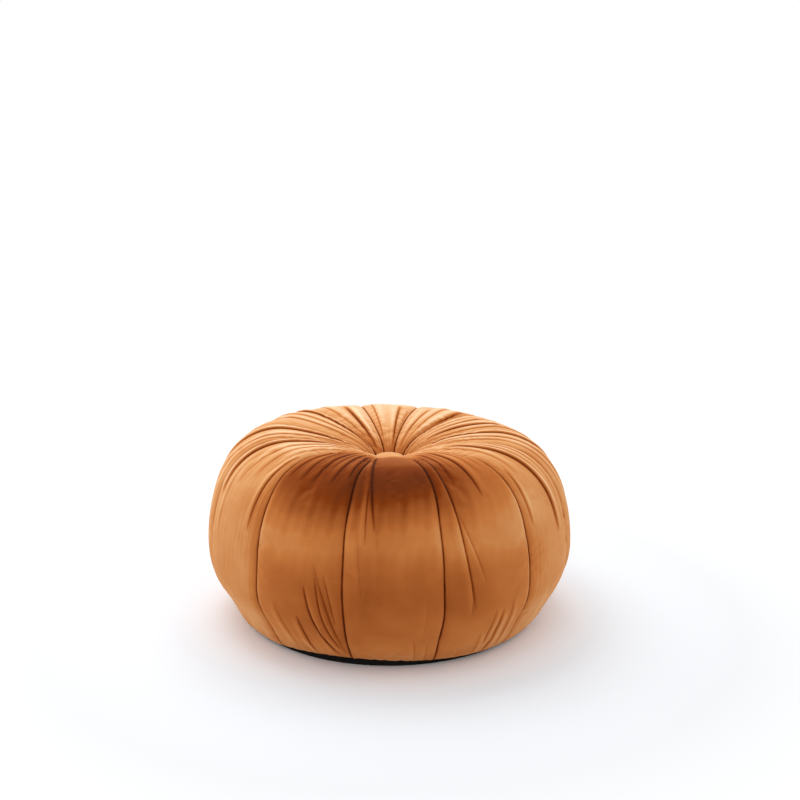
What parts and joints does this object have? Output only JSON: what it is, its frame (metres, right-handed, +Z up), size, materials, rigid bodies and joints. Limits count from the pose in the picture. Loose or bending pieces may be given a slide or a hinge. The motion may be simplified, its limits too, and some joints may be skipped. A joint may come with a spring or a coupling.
{
  "type": "floor pouf",
  "caption": "Round low floor pouf: filled velvet gores drawn in under a covered button in a dished top, on a thin flat black base.",
  "frame": {"origin": "middle of the base's underside, on the floor", "axes": "+Z up through the button, -Y towards the picture's camera, +X to the right in the picture"},
  "size_m": [0.6165, 0.6163, 0.3151],
  "materials": {
    "orange_velvet": "velvet pile",
    "black_cloth": "dull woven cloth"
  },
  "bodies": {
    "root": {"base": "black_cloth", "panel_01": "orange_velvet", "panel_02": "orange_velvet", "panel_03": "orange_velvet", "panel_04": "orange_velvet", "panel_05": "orange_velvet", "panel_06": "orange_velvet", "panel_07": "orange_velvet", "panel_08": "orange_velvet", "panel_09": "orange_velvet", "panel_10": "orange_velvet", "panel_11": "orange_velvet", "panel_12": "orange_velvet", "button": "orange_velvet"}
  },
  "joints": []
}
